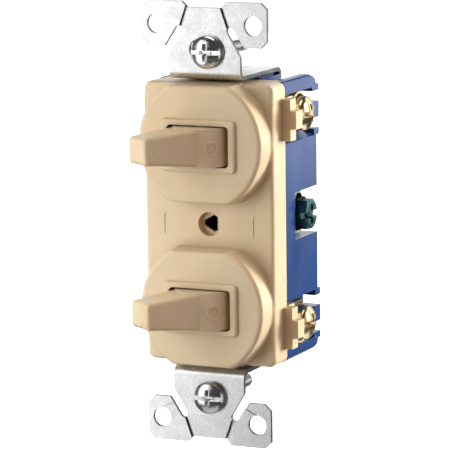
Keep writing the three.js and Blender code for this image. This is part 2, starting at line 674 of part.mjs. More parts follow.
function hexScrew({ headR, headT, shankR, length }) {
  const head = prism(circle(0, 0, headR, 6), 'z', 0, headT);
  const outR = headR + 0.3;
  const crown = turned([[0, -0.5], [outR, -0.5], [outR, headT - 0.7], [headR - 0.55, headT], [0, headT]], 36);
  const shank = prism(circle(0, 0, shankR), 'z', -length, 0.5);
  return cut(head.intersect(crown).add(shank), driveCuts(headR, headT, 1.3));
}

/** Screw and clamp of one side terminal. */
function terminalScrew(name, sx, s) {
  const turn = [0, (sx * Math.PI) / 2, 0];
  const seat = CLAMP.inX + CLAMP.t + FIT;
  const clamp = piece(`${name}_clamp_plate`, clampShape(false), BRASS);
  const screw = piece(`${name}_terminal_screw`, panScrew(SCREW), BRASS);
  screw.rotation.z = Math.PI / 2;
  return [
    placed(clamp, [sx * CLAMP.inX, TERMINAL.y, s * TERMINAL.z], turn),
    placed(screw, [sx * seat, TERMINAL.y, s * TERMINAL.z], turn),
  ];
}

function groundScrew() {
  const turn = [0, Math.PI / 2, 0];
  const clamp = piece('ground_clamp_plate', clampShape(true), BLACK);
  clamp.rotation.z = Math.PI;
  const screw = piece('ground_screw', hexScrew(GROUND_SCREW), GREEN);
  screw.rotation.z = Math.PI / 2;
  return [
    placed(clamp, [GROUND_CLAMP_X, GROUND.y, GROUND.z], turn),
    placed(screw, [GROUND_CLAMP_X + CLAMP.t + FIT, GROUND.y, GROUND.z], turn),
  ];
}

// ---------------------------------------------------------------- mounting screws, insert and rivets
function mountingScrew(name, x, z) {
  const screw = piece(`${name}_mounting_screw`, panScrew(MOUNTING_SCREW), STEEL);
  const card = prism(roundedRect(x, z, 4.4, 3.7, 0.8), 'y', FIT, FIT + 0.7);
  const hole = prism(circle(x, z, MOUNTING_SCREW.shankR + 0.15), 'y', -1, 3);
  return [
    placed(screw, [x, -STRAP_T - FIT, z], [Math.PI / 2, 0, 0]),
    piece(`${name}_screw_retainer`, cut(card, [hole]), CARD),
  ];
}

function wallplateInsert() {
  const body = prism(circle(0, 0, 3.4, 6), 'y', 3.1, 6.3);
  return piece('wallplate_screw_insert', cut(body, [prism(circle(0, 0, 1.5), 'y', 2, 8)]), BLACK);
}

function assemblyRivet(name, s) {
  const seat = STRAP_BACK_Y + FIT;
  const { headR, shankR } = RIVET;
  const rivet = turned([
    [0, -(seat - 3.6)], [shankR, -(seat - 3.6)], [shankR, 0], [headR, 0], [headR, 0.35],
    [headR * 0.75, 0.85], [headR * 0.3, 1.1], [0, 1.1],
  ], 18);
  return placed(piece(name, rivet, STEEL), [0, seat, s * RIVET.z], [-Math.PI / 2, 0, 0]);
}

// ---------------------------------------------------------------- assembly
const root = new THREE.Group();
root.add(mountingStrap(), frontCover(), rearBody(), lineTerminalBar(), wallplateInsert());
for (const [name, side] of [['upper', 1], ['lower', -1]]) {
  root.add(toggleGroup(name, side));
  root.add(rockerGroup(name, side));
  root.add(fixedContact(name, side));
  root.add(loadTerminal(name, side));
  root.add(assemblyRivet(`${name}_assembly_rivet`, side));
  root.add(...terminalScrew(`${name}_load`, 1, side));
  root.add(...terminalScrew(`${name}_line`, -1, side));
}
root.add(...groundScrew());
root.add(...mountingScrew('upper', 0.9, 41.2));
root.add(...mountingScrew('lower', 0.35, -MOUNT_Z));

export default root;
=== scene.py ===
"""Looks of a double toggle wall switch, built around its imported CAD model."""

import math

import bmesh
import bpy
from mathutils import Matrix, Quaternion, Vector


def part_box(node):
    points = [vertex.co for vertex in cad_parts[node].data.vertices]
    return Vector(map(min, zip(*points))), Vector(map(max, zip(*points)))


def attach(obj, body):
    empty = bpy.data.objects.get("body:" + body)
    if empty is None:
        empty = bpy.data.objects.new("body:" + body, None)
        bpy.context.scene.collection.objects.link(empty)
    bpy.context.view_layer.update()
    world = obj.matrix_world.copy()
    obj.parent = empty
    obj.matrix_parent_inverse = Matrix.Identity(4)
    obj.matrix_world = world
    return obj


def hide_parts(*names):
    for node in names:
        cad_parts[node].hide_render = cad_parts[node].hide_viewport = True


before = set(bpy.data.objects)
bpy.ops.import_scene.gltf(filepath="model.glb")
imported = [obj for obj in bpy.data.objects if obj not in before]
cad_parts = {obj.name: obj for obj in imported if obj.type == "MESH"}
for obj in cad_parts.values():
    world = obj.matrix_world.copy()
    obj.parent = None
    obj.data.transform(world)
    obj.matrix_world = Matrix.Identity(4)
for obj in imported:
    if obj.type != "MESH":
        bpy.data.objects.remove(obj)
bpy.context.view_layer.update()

# ---------------------------------------------------------------- dimensions, mm, in the row frame
MM = 0.001
SIDES = (1, -1)
SWITCH_Z = 19.45
MOUNT_Z = 41.67

STRAP_T, STRAP_HALF_W, STRAP_TOP_Z, STRAP_BACK_Y, BEND_IN = 1.0, 9.2, 35.6, 23.0, 1.0
PLATE_TOP_Z, EAR_TOP_Z, EAR_LOW_Z, EAR_X = 51.6, 53.05, 42.35, 16.1
EAR_HOLE = (12.55, 47.6, 2.33)
NOTCH_END = (6.7, 46.2, 0.95)
SLOT_HALF = (3.9, 2.5)
WEB_T = 0.4

COVER_HALF_W, COVER_HALF_H, COVER_FRONT, COVER_BACK, WALL, ROOF = 16.8, 33.7, 0.4, 7.5, 1.6, 2.0
APRON_HALF_W, APRON_BACK = 14.9, 10.5
BOSS_Z, BOSS_CHORD, BOSS_R = 19.65, 13.9, 15.95
COLLAR_HALF_W, COLLAR_HALF_H = 9.5, 6.15
OPENING = (8.0, 4.9, 1.0)

BODY_FRONT, BODY_BACK, POST_BACK, BODY_HALF_H, CORE_TOP, BODY_EDGE_R = 7.7, 26.3, 28.3, 33.9, 34.3, 2.0
SIDE_FLOOR_X = 12.9
WELL = (11.9, 3.7, 14.5)

TERMINAL_Y, TERMINAL_Z = 16.4, 25.35
CLAMP_X, CLAMP_T, CLAMP_HALF, CLAMP_CORNER = 15.3, 1.2, 3.9, 4.5
GUARD_HOLE_R, GUARD_RIM_R, GUARD_FRONT, GUARD_END = 4.7, 5.1, 5.4, 12.5
TAB_LOAD_X, TAB_LINE_X = 20.6, 19.1
PLATE_IN_X, PLATE_OUT_X, PLATE_LOW_Z, PLATE_HIGH_Z = 13.2, 14.4, 21.0, 29.9
POSTS = ((18.9, 20.5, 25.3), (23.1, 27.0, 24.6), (29.6, 31.2, 24.3))
HEAD_R, HEAD_T, SHANK_R, SHANK_L = 4.1, 3.3, 2.05, 4.3
GROUND_Y, GROUND_Z, GROUND_HALF, GROUND_FRONT, GROUND_CLAMP_X = 17.6, 0.9, 5.7, 13.1, 15.25
WING_X, WING_HALF, WING_FRONT = 14.6, 5.0, 13.6
GROUND_HEAD_R, GROUND_HEAD_T = 4.0, 2.6
CATCH_BORE_R, CATCH_FLOOR, CATCH_CORNER_R, CATCH_SPAN = 2.9, 2.0, 2.2, 14

TOGGLE_Y, DRUM_R, TOGGLE_HALF_Z, TILT = -3.2, 6.8, 4.55, 33.5
SKIRT = (8.9, 119, 150)
LEVER_TIP, LEVER_TAPER, LEVER_ROOT = (4.0, 3.27), (1.3, 1.13), (5.3, 4.4)
LEG_R, LEG_LENGTH, LEG_BORE_R = 3.1, 8.0, 2.1
MOUNT_HEAD_R, MOUNT_HEAD_T, MOUNT_SHANK_R, MOUNT_LENGTH = 3.9, 2.1, 1.75, 21.8
MOUNT_SCREWS = {"upper": (0.9, 41.2), "lower": (0.35, -MOUNT_Z)}
THREAD_PITCH = 0.794
RIVET_Z, RIVET_SHANK_R, RIVET_HEAD_R = 8.6, 1.2, 2.6
GAP = 0.3
FIT = 0.15
ROCKER_Y = 11.3


# ---------------------------------------------------------------- mesh helpers, all in mm
def mesh_object(verts, faces, name="tool"):
    mesh = bpy.data.meshes.new(name)
    mesh.from_pydata([tuple(v) for v in verts], [], faces)
    mesh.update()
    obj = bpy.data.objects.new(name, mesh)
    bpy.context.scene.collection.objects.link(obj)
    return obj


def outward(obj):
    bm = bmesh.new()
    bm.from_mesh(obj.data)
    bmesh.ops.recalc_face_normals(bm, faces=bm.faces)
    if bm.calc_volume(signed=True) < 0:
        bmesh.ops.reverse_faces(bm, faces=bm.faces)
    bm.to_mesh(obj.data)
    bm.free()
    return obj


def skin(rings):
    """Closed skin over rings of equal length, capped at both ends."""
    n = len(rings[0])
    verts = [v for ring in rings for v in ring]
    faces = []
    for k in range(len(rings) - 1):
        for i in range(n):
            a, b = k * n + i, k * n + (i + 1) % n
            faces.append((a, b, b + n, a + n))
    faces.append(tuple(range(n)))
    faces.append(tuple(range((len(rings) - 1) * n, len(rings) * n)))
    return outward(mesh_object(verts, faces))


def prism(outline, axis, start, end):
    """Outline pushed along an axis. x: outline is (y, z). y: outline is (x, z). z: outline is (x, y)."""
    place = {
        "x": lambda u, v, w: (w, u, v),
        "y": lambda u, v, w: (u, w, v),
        "z": lambda u, v, w: (u, v, w),
    }[axis]
    return skin([[place(u, v, w) for u, v in outline] for w in (start, end)])


def box(low, high):
    (x0, y0, z0), (x1, y1, z1) = low, high
    return prism([(x0, z0), (x1, z0), (x1, z1), (x0, z1)], "y", y0, y1)


def circle(cx, cy, r, sides=48, turn=0.0):
    return [
        (cx + r * math.cos(turn + 2 * math.pi * i / sides), cy + r * math.sin(turn + 2 * math.pi * i / sides))
        for i in range(sides)
    ]


def arc(cx, cy, r, start, end, steps=14):
    points = []
    for i in range(steps + 1):
        a = math.radians(start + (end - start) * i / steps)
        points.append((cx + r * math.cos(a), cy + r * math.sin(a)))
    return points


def rounded(cx, cy, half_w, half_h, r, steps=8):
    points = []
    for sx, sy, start in ((1, 1, 0), (-1, 1, 90), (-1, -1, 180), (1, -1, 270)):
        points += arc(cx + sx * (half_w - r), cy + sy * (half_h - r), r, start, start + 90, steps)
    return points


def lathe(profile, sides=64):
    """Turned shape about Z. The profile is (radius, z), from the axis round to the axis."""
    verts, faces, rows = [], [], []
    for r, z in profile:
        if r < 1e-6:
            rows.append([len(verts)])
            verts.append((0, 0, z))
        else:
            rows.append(list(range(len(verts), len(verts) + sides)))
            verts += [
                (r * math.cos(2 * math.pi * i / sides), r * math.sin(2 * math.pi * i / sides), z)
                for i in range(sides)
            ]
    for a, b in zip(rows, rows[1:]):
        for i in range(sides):
            j = (i + 1) % sides
            if len(a) == 1 and len(b) > 1:
                faces.append((a[0], b[i], b[j]))
            elif len(b) == 1 and len(a) > 1:
                faces.append((a[i], a[j], b[0]))
            elif len(a) > 1:
                faces.append((a[i], a[j], b[j], b[i]))
    return outward(mesh_object(verts, faces))


def settle(obj):
    """Applies the modifiers."""
    graph = bpy.context.evaluated_depsgraph_get()
    mesh = bpy.data.meshes.new_from_object(obj.evaluated_get(graph), depsgraph=graph)
    old = obj.data
    obj.modifiers.clear()
    obj.data = mesh
    bpy.data.meshes.remove(old)
    return obj


def combine(obj, others, operation):
    for other in others:
        modifier = obj.modifiers.new("boolean", "BOOLEAN")
        modifier.operation = operation
        modifier.solver = "MANIFOLD"
        modifier.object = other
    settle(obj)
    for other in others:
        mesh = other.data
        bpy.data.objects.remove(other)
        bpy.data.meshes.remove(mesh)
    return obj


def join(objs):
    return combine(objs[0], objs[1:], "UNION")


def cut(obj, tools):
    return combine(obj, tools, "DIFFERENCE")


def moved(obj, matrix):
    obj.data.transform(matrix)
    if matrix.determinant() < 0:
        obj.data.flip_normals()
    return obj


def along(origin, x_axis, z_axis):
    """Matrix from a local frame whose X and Z point along the given axes."""
    x, z = Vector(x_axis), Vector(z_axis)
    y = z.cross(x)
    m = Matrix((x, y, z)).transposed().to_4x4()
    m.translation = Vector(origin)
    return m


def span(side, a, b):
    """The two values on the given side of zero, lower one first."""
    return sorted((side * a, side * b))


def tidy(obj, angle=0.4):
    bm = bmesh.new()
    bm.from_mesh(obj.data)
    bmesh.ops.remove_doubles(bm, verts=bm.verts, dist=0.004)
    bmesh.ops.dissolve_degenerate(bm, edges=bm.edges, dist=0.004)
    bmesh.ops.dissolve_limit(bm, angle_limit=math.radians(angle), verts=bm.verts, edges=bm.edges)
    bm.to_mesh(obj.data)
    bm.free()
    return obj


def soften(obj, width, segments=2, angle=28):
    """Rounds the sharp edges."""
    tidy(obj)
    modifier = obj.modifiers.new("bevel", "BEVEL")
    modifier.width = width
    modifier.segments = segments
    modifier.limit_method = "ANGLE"
    modifier.angle_limit = math.radians(angle)
    modifier.miter_outer = "MITER_ARC"
    modifier.use_clamp_overlap = True
    return settle(obj)


def finish_piece(obj, name, look, body, slot_name, *nodes, smooth=35):
    """Scales a finished shape to metres, shades it and ties it to the frame."""
    obj.data.transform(Matrix.Scale(MM, 4))
    obj.name = name
    obj.data.name = name
    obj.data.materials.clear()
    obj.data.materials.append(look)
    for polygon in obj.data.polygons:
        polygon.use_smooth = True
        polygon.material_index = 0
    obj.data.set_sharp_from_angle(angle=math.radians(smooth))
    modifier = obj.modifiers.new("normals", "WEIGHTED_NORMAL")
    modifier.keep_sharp = True
    modifier.weight = 100
    settle(obj)
    obj.data.name = name
    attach(obj, body)
    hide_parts(*nodes)
    return obj


# ---------------------------------------------------------------- materials
class Look:
    """A procedural material on the object's own coordinates."""

    def __init__(self, name, **sockets):
        self.material = bpy.data.materials.new(name)
        self.material.use_nodes = True
        self.tree = self.material.node_tree
        self.shader = next(n for n in self.tree.nodes if n.type == "BSDF_PRINCIPLED")
        for key, value in sockets.items():
            self.shader.inputs[key.replace("_", " ")].default_value = value
        self.coords = self.tree.nodes.new("ShaderNodeTexCoord").outputs["Object"]

    def node(self, kind, **inputs):
        made = self.tree.nodes.new(kind)
        for key, value in inputs.items():
            self.put(value, made.inputs[key.replace("_", " ")])
        return made

    def put(self, value, socket):
        if isinstance(value, bpy.types.NodeSocket):
            self.tree.links.new(value, socket)
        else:
            socket.default_value = value

    def stretched(self, scale):
        return self.node("ShaderNodeMapping", Vector=self.coords, Scale=scale).outputs["Vector"]

    def noise(self, scale, detail=3.0, roughness=0.55, distortion=0.0, stretch=None):
        vector = self.coords if stretch is None else self.stretched(stretch)
        made = self.node(
            "ShaderNodeTexNoise",
            Vector=vector, Scale=scale, Detail=detail, Roughness=roughness, Distortion=distortion,
        )
        return made.outputs["Fac"]

    def cells(self, scale, stretch=None, feature="F1", output="Distance"):
        vector = self.coords if stretch is None else self.stretched(stretch)
        made = self.node("ShaderNodeTexVoronoi", Vector=vector, Scale=scale)
        made.feature = feature
        return made.outputs[output]

    def ranged(self, value, low, high, to_low=0.0, to_high=1.0):
        made = self.tree.nodes.new("ShaderNodeMapRange")
        self.put(value, made.inputs["Value"])
        made.inputs["From Min"].default_value = low
        made.inputs["From Max"].default_value = high
        made.inputs["To Min"].default_value = to_low
        made.inputs["To Max"].default_value = to_high
        return made.outputs["Result"]

    def blend(self, factor, first, second, kind="MIX"):
        made = self.tree.nodes.new("ShaderNodeMix")
        made.data_type = "RGBA"
        made.blend_type = kind
        self.put(factor, made.inputs[0])
        self.put(first if isinstance(first, bpy.types.NodeSocket) else (*first, 1), made.inputs[6])
        self.put(second if isinstance(second, bpy.types.NodeSocket) else (*second, 1), made.inputs[7])
        return made.outputs[2]

    def maths(self, operation, first, second=0.0):
        made = self.tree.nodes.new("ShaderNodeMath")
        made.operation = operation
        self.put(first, made.inputs[0])
        self.put(second, made.inputs[1])
        return made.outputs[0]

    def edges(self, radius, low=0.01, high=0.16):
        """1 along rounded and sharp edges, 0 on flat faces."""
        rounded_normal = self.node("ShaderNodeBevel", Radius=radius)
        rounded_normal.samples = 4
        plain = self.tree.nodes.new("ShaderNodeNewGeometry").outputs["Normal"]
        dot = self.tree.nodes.new("ShaderNodeVectorMath")
        dot.operation = "DOT_PRODUCT"
        self.put(rounded_normal.outputs["Normal"], dot.inputs[0])
        self.put(plain, dot.inputs[1])
        return self.ranged(dot.outputs["Value"], 1.0 - low, 1.0 - high)

    def crevices(self, distance, low=0.35, high=0.95):
        """1 in corners and gaps, 0 in the open."""
        made = self.node("ShaderNodeAmbientOcclusion", Distance=distance)
        made.samples = 6
        return self.ranged(made.outputs["AO"], high, low)

    def bumps(self, *layers):
        """Layers are (height, strength, distance), laid over one another."""
        normal = None
        for height, strength, distance in layers:
            made = self.node("ShaderNodeBump", Height=height, Strength=strength, Distance=distance)
            if normal is not None:
                self.put(normal, made.inputs["Normal"])
            normal = made.outputs["Normal"]
        self.put(normal, self.shader.inputs["Normal"])

    def finish(self, color, roughness):
        self.put(color, self.shader.inputs["Base Color"])
        self.put(roughness, self.shader.inputs["Roughness"])
        return self.material


def plastic(name, color, dark, light, edge_tone, rough, specks=0.0, shade_reach=0.0016, **sockets):
    """Moulded plastic: faint flow variation, fine grain, paler rubbed edges, and painted shade darkening its
    corners and creases.
    """
    look = Look(name, **sockets)
    flow = look.noise(55, 3, 0.5, 0.6, (1, 1, 0.45))
    grain = look.noise(2600, 2)
    tone = look.blend(look.ranged(flow, 0.35, 0.65), dark, light)
    tone = look.blend(look.ranged(grain, 0.3, 0.7, 0.0, 0.35), tone, color)
    if specks:
        spots = look.ranged(look.cells(900), 0.12, 0.2, specks, 0.0)
        tone = look.blend(spots, tone, dark)
    edge_patches = look.maths("MULTIPLY", look.edges(0.00035, 0.03, 0.2), look.ranged(look.noise(420, 4), 0.35, 0.65))
    tone = look.blend(look.maths("MULTIPLY", edge_patches, 0.45), tone, edge_tone)
    # Painted shade: ambient-occlusion darkening in corners and recesses, its strength varied by noise.
    painted_crevice_shade = look.crevices(shade_reach)
    painted_crevice_shade = look.maths("MULTIPLY", painted_crevice_shade, look.ranged(look.noise(120, 3), 0.3, 0.7, 0.5, 0.75))
    tone = look.blend(look.maths("MULTIPLY", painted_crevice_shade, 0.6), tone, [c * 0.42 for c in dark])
    # Painted shade: a thin dark line along tight creases and the gaps between parts.
    painted_crease_shade = look.crevices(0.0007, 0.3, 0.85)
    tone = look.blend(look.maths("MULTIPLY", painted_crease_shade, 0.45), tone, [c * 0.5 for c in dark])
    smears = look.noise(120, 3, 0.5)
    gloss = look.ranged(smears, 0.3, 0.7, rough - 0.03, rough + 0.05)
    gloss = look.maths("ADD", gloss, look.maths("MULTIPLY", painted_crevice_shade, 0.2))
    look.bumps((look.noise(900, 3), 0.12, 0.00006), (grain, 0.18, 0.00002))
    return look.finish(tone, gloss)


def plated(name, color, stain, rough, grain_scale=1400, stretch=(1, 1, 0.12), mottling=0.5, bump=0.3,
           edge_tone=1.25, sparkle=0.12, **sockets):
    """Plated or bare metal: drawn grain, mottled plating, scratches, painted shade in crevices, and edges
    brightened by rubbing or, where the edge factor is below 1, darkened as painted shade.
    """
    look = Look(name, Metallic=1.0, **sockets)
    grain = look.noise(grain_scale, 4, 0.6, 0.0, stretch)
    blotch = look.noise(150, 5, 0.62, 0.9)
    crystal = look.ranged(look.cells(2600, (1, 1, 0.6), output="Color"), 0.0, 1.0)
    shade = look.ranged(blotch, 0.36, 0.66)
    tone = look.blend(look.maths("MULTIPLY", shade, mottling), color, stain)
    tone = look.blend(look.ranged(grain, 0.35, 0.65, 0.0, 0.3), tone, [min(1, c * 1.15) for c in color])
    tone = look.blend(sparkle, tone, crystal, "OVERLAY")
    # Painted shade: ambient-occlusion darkening in crevices, its strength varied by the blotches.
    painted_crevice_shade = look.maths("MULTIPLY", look.crevices(0.0012), look.ranged(blotch, 0.3, 0.7, 0.3, 0.9))
    tone = look.blend(look.maths("MULTIPLY", painted_crevice_shade, 0.5), tone, [c * 0.35 for c in stain])
    # Edges scaled by the edge factor: above 1 they are paler rubbed wear; below 1, as on the zinc, the darkening
    # is painted shade along the edges.
    edge_patches = look.maths("MULTIPLY", look.edges(0.0003), look.ranged(look.noise(500, 3), 0.35, 0.6))
    tone = look.blend(look.maths("MULTIPLY", edge_patches, 0.6), tone, [min(1, c * edge_tone) for c in color])
    scratch = look.ranged(look.noise(2600, 2, 0.5, 0.3, (0.04, 1, 1)), 0.62, 0.72)
    gloss = look.ranged(grain, 0.3, 0.7, rough - 0.08, rough + 0.08)
    gloss = look.maths("ADD", gloss, look.maths("MULTIPLY", look.maths("ADD", shade, scratch), 0.07))
    look.bumps((grain, bump, 0.00002), (scratch, -bump * 0.6, 0.00001), (blotch, bump * 0.5, 0.00005))
    return look.finish(tone, gloss)


def fibre_card(name):
    look = Look(name)
    fibres = look.noise(2200, 4, 0.65, 1.5, (0.25, 1, 1))
    tone = look.blend(look.ranged(fibres, 0.3, 0.7), (0.40, 0.30, 0.19), (0.62, 0.51, 0.36))
    tone = look.blend(look.maths("MULTIPLY", look.edges(0.0003), 0.5), tone, (0.70, 0.60, 0.45))
    look.bumps((fibres, 0.5, 0.00008))
    return look.finish(tone, look.ranged(fibres, 0.3, 0.7, 0.75, 0.95))


# Its 3.5 mm reach spreads the painted shade further into corners and around the bosses.
IVORY = plastic(
    "ivory_plastic", (0.79, 0.64, 0.41), (0.755, 0.60, 0.365), (0.82, 0.675, 0.445), (0.90, 0.80, 0.60), 0.3,
    shade_reach=0.0035,
    IOR=1.5, Subsurface_Weight=0.12, Subsurface_Radius=(1.0, 0.6, 0.3), Subsurface_Scale=0.0012,
)
BLUE = plastic(
    "blue_plastic",
    (0.022, 0.064, 0.205), (0.017, 0.052, 0.17), (0.027, 0.075, 0.235), (0.09, 0.16, 0.38), 0.2,
    specks=0.5, IOR=1.5,
)
# Its edge factor of 0.35 darkens the strap's edges: partly bare cut steel, partly painted shade along the bevels.
ZINC = plated(
    "zinc_plated_steel", (0.80, 0.80, 0.795), (0.66, 0.66, 0.655), 0.29, 3200, (1, 1, 0.5), 0.45, 0.7,
    edge_tone=0.35, sparkle=0.3,
)
# Dark steel for the strap's cut side faces: partly the bare sheared steel, partly painted shade on those faces.
SHEARED_AND_SHADED = plated(
    "sheared_edge_painted_shade", (0.26, 0.26, 0.265), (0.12, 0.12, 0.12), 0.38, 1500, (1, 1, 1), 0.8, 0.6, edge_tone=2.0,
)
STEEL = plated("bright_steel", (0.80, 0.80, 0.79), (0.62, 0.61, 0.59), 0.17, 900, (1, 1, 1), 0.3, 0.12)
BRASS = plated("brass", (0.93, 0.76, 0.46), (0.74, 0.50, 0.20), 0.2, 1100, (1, 1, 1), 0.5, 0.2)
SILVER = plated("silver_alloy", (0.86, 0.86, 0.87), (0.60, 0.58, 0.55), 0.22, 1100, (1, 1, 1), 0.3, 0.15)
GREEN = plated("green_screw", (0.075, 0.20, 0.185), (0.04, 0.13, 0.12), 0.3, 1100, (1, 1, 1), 0.6, 0.2)
BLACK = plated("black_plate", (0.028, 0.03, 0.034), (0.014, 0.014, 0.016), 0.38, 1100, (1, 1, 1), 0.6, 0.25)
CARD = fibre_card("card")
NYLON = plastic(
    "white_nylon", (0.82, 0.81, 0.76), (0.78, 0.77, 0.71), (0.86, 0.85, 0.80), (0.92, 0.91, 0.88), 0.4,
    Subsurface_Weight=0.1, Subsurface_Radius=(1.0, 0.8, 0.6), Subsurface_Scale=0.001,
)


# ---------------------------------------------------------------- mounting strap
def ear_plate(side):
    right = [(STRAP_HALF_W, STRAP_TOP_Z + BEND_IN), (STRAP_HALF_W, 40.2)]
    right += arc(NOTCH_END[0], NOTCH_END[1], NOTCH_END[2], 214, 32, 18)
    right += [(10.35, EAR_LOW_Z), (14.5, EAR_LOW_Z), (EAR_X, 43.95), (EAR_X, 51.5)]
    right += [(14.5, EAR_TOP_Z), (5.8, EAR_TOP_Z), (4.35, PLATE_TOP_Z)]
    outline = right + [(-x, z) for x, z in reversed(right)]
    plate = prism([(x, side * z) for x, z in outline], "y", -STRAP_T, 0)
    tools = [prism(rounded(0, side * MOUNT_Z, *SLOT_HALF, 2.4, 10), "y", -3, 2)]
    for sx in SIDES:
        x, z, r = EAR_HOLE
        tools.append(prism(circle(sx * x, side * z, r), "y", -3, 2))
        line = [(3.75, 52.6), (4.55, 52.6), (6.6, 46.9), (5.8, 46.9)]
        tools.append(prism([(sx * x, side * z) for x, z in line], "y", -3, -WEB_T))
        if side < 0:
            gauge = [(9.6, -43.9), (9.8, -43.75), (14.9, -46.35), (14.7, -46.5)]
            tools.append(prism([(sx * x, z) for x, z in gauge], "y", -3, -STRAP_T + 0.16))
    return cut(plate, tools)


def bent_strip():
    r_out = BEND_IN + STRAP_T
    fold_z = STRAP_TOP_Z + BEND_IN
    corner_y, corner_z = STRAP_BACK_Y - r_out, STRAP_TOP_Z - r_out
    inside = [
        (-STRAP_T, 38.5), *arc(BEND_IN, fold_z, r_out, 180, 270), *arc(corner_y, corner_z, BEND_IN, 90, 0)
    ]
    outside = [*arc(corner_y, corner_z, r_out, 0, 90), *arc(BEND_IN, fold_z, BEND_IN, 270, 180), (0, 38.5)]
    mirror = lambda points: [(y, -z) for y, z in reversed(points)]
    return prism(inside + mirror(inside) + mirror(outside) + outside, "x", -STRAP_HALF_W, STRAP_HALF_W)


def ground_wing():
    r_out = BEND_IN + STRAP_T
    corner_x, corner_y = WING_X - r_out, STRAP_BACK_Y - r_out
    outline = [
        (STRAP_HALF_W - 1, STRAP_BACK_Y - STRAP_T),
        *arc(corner_x, corner_y, BEND_IN, 90, 0),
        (WING_X - STRAP_T, WING_FRONT),
        (WING_X, WING_FRONT),
        *arc(corner_x, corner_y, r_out, 0, 90),
        (STRAP_HALF_W - 1, STRAP_BACK_Y),
    ]
    wing = prism(outline, "z", GROUND_Z - WING_HALF, GROUND_Z + WING_HALF)
    return cut(wing, [prism(circle(GROUND_Y, GROUND_Z, SHANK_R + 0.2), "x", 12, 16)])


def make_strap():
    shape = join([bent_strip(), ear_plate(1), ear_plate(-1), ground_wing()])
    holes = [prism(circle(0, s * RIVET_Z, RIVET_SHANK_R + 0.2), "y", 20, 25) for s in SIDES]
    soften(cut(shape, holes), 0.13, 2)
    finish_piece(shape, "strap", ZINC, "switch_frame", "zinc_plated_steel", "mounting_strap")
    # The ear and strip side faces take the dark cut-steel metal, which also paints their shade.
    shape.data.materials.append(SHEARED_AND_SHADED)
    for polygon in shape.data.polygons:
        x, _, z = (abs(c) / MM for c in polygon.center)
        on_ear = z > STRAP_TOP_Z + BEND_IN + 0.5 and abs(polygon.normal.y) < 0.75
        on_strip = abs(x - STRAP_HALF_W) < 0.2 and abs(polygon.normal.x) > 0.7
        if on_ear or on_strip:
            polygon.material_index = 1


# ---------------------------------------------------------------- front cover
def boss_ring(inset, y, cz):
    """Circle cut off by two level chords, both drawn in by the inset."""
    r, chord, steps = BOSS_R - inset, BOSS_CHORD - inset * 0.55, 40
    a = math.asin(chord / r)
    ring = []
    for flip in (0, math.pi):
        for i in range(steps + 1):
            t = flip - a + 2 * a * i / steps
            ring.append((r * math.cos(t), y, cz + r * math.sin(t)))
    return ring


def rect_ring(half_w, half_h, r, y, cz, steps=8):
    return [(x, y, z) for x, z in rounded(0, cz, half_w, half_h, r, steps)]


def cover_outside():
    w, h, front = COVER_HALF_W, COVER_HALF_H, COVER_FRONT
    rings = []
    round_over = ((1.0, 0.0), (0.62, 0.06), (0.32, 0.24), (0.12, 0.5), (0.0, 0.95))
    for inset, depth in (*round_over, (0.0, COVER_BACK - front)):
        rings.append(rect_ring(w - inset, h - inset, 1.8 - inset * 0.6, front + depth, 0))
    parts = [skin(rings)]
    edge = ((1.35, -5.0), (0.95, -4.98), (0.6, -4.88), (0.35, -4.7), (0.15, -4.45), (0.0, -4.2))
    root = ((-0.25, -0.4), (-0.3, 0.05), (-0.42, 0.3), (-0.55, 0.42), (-0.55, 1.9))
    lip = ((0.55, -5.8), (0.3, -5.78), (0.12, -5.68), (0.0, -5.5))
    lip += ((0.0, -5.15), (-0.1, -5.0), (-0.3, -4.96), (-0.3, -4.5))
    for s in SIDES:
        parts.append(skin([boss_ring(inset, y, s * BOSS_Z) for inset, y in edge + root]))
        parts.append(skin([
            rect_ring(COLLAR_HALF_W - i, COLLAR_HALF_H - i, max(0.25, 0.9 - i), y, s * SWITCH_Z)
            for i, y in lip
        ]))
    return join(parts)


def terminal_guard(sx, sz):
    def block(x0, x1, y0, y1, z0, z1):
        xs, zs = span(sx, x0, x1), span(sz, z0, z1)
        return box((xs[0], y0, zs[0]), (xs[1], y1, zs[1]))

    root, plate_x = COVER_HALF_W - 1.2, (15.0, COVER_HALF_W - 0.2)
    guard = join([
        block(root, TAB_LINE_X, GUARD_FRONT, 8.6, 27.1, 29.9),
        block(root, TAB_LOAD_X if sx > 0 else TAB_LINE_X, GUARD_FRONT, 9.0, 22.9, 27.2),
        block(root, TAB_LINE_X, GUARD_FRONT, 8.6, 20.0, 22.95),
        block(*plate_x, GUARD_FRONT, GUARD_END, 20.0, 29.95),
    ])
    rim = prism(circle(TERMINAL_Y, sz * TERMINAL_Z, GUARD_RIM_R, 72), "x", *span(sx, *plate_x))
    rim = combine(rim, [block(14, 18, 10, 21, 27.5, 31)], "INTERSECT")
    hole = prism(circle(TERMINAL_Y, sz * TERMINAL_Z, GUARD_HOLE_R, 72), "x", *span(sx, 14, 18))
    return cut(join([guard, rim]), [hole])


